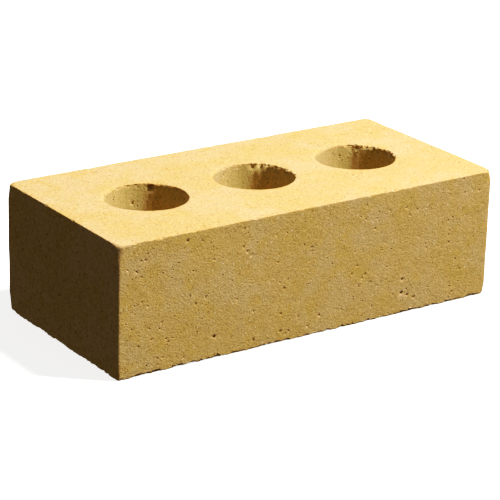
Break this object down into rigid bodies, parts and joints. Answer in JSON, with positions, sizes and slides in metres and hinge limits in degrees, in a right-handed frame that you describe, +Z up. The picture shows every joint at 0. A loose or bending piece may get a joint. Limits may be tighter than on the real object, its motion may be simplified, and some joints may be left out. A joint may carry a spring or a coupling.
{
  "type": "perforated clay brick",
  "caption": "Rectangular fired clay brick with a row of round perforations running through it from bed face to bed face.",
  "frame": {"origin": "centre of the bed face that the brick lies on", "axes": "+X along the length, +Y along the width, +Z up through the perforations"},
  "size_m": [0.215, 0.1024, 0.065],
  "materials": {
    "fired_clay": "matt, fine sandy grain with open pores, buff yellow"
  },
  "bodies": {
    "root": {"clay_brick": "fired_clay"}
  },
  "joints": []
}
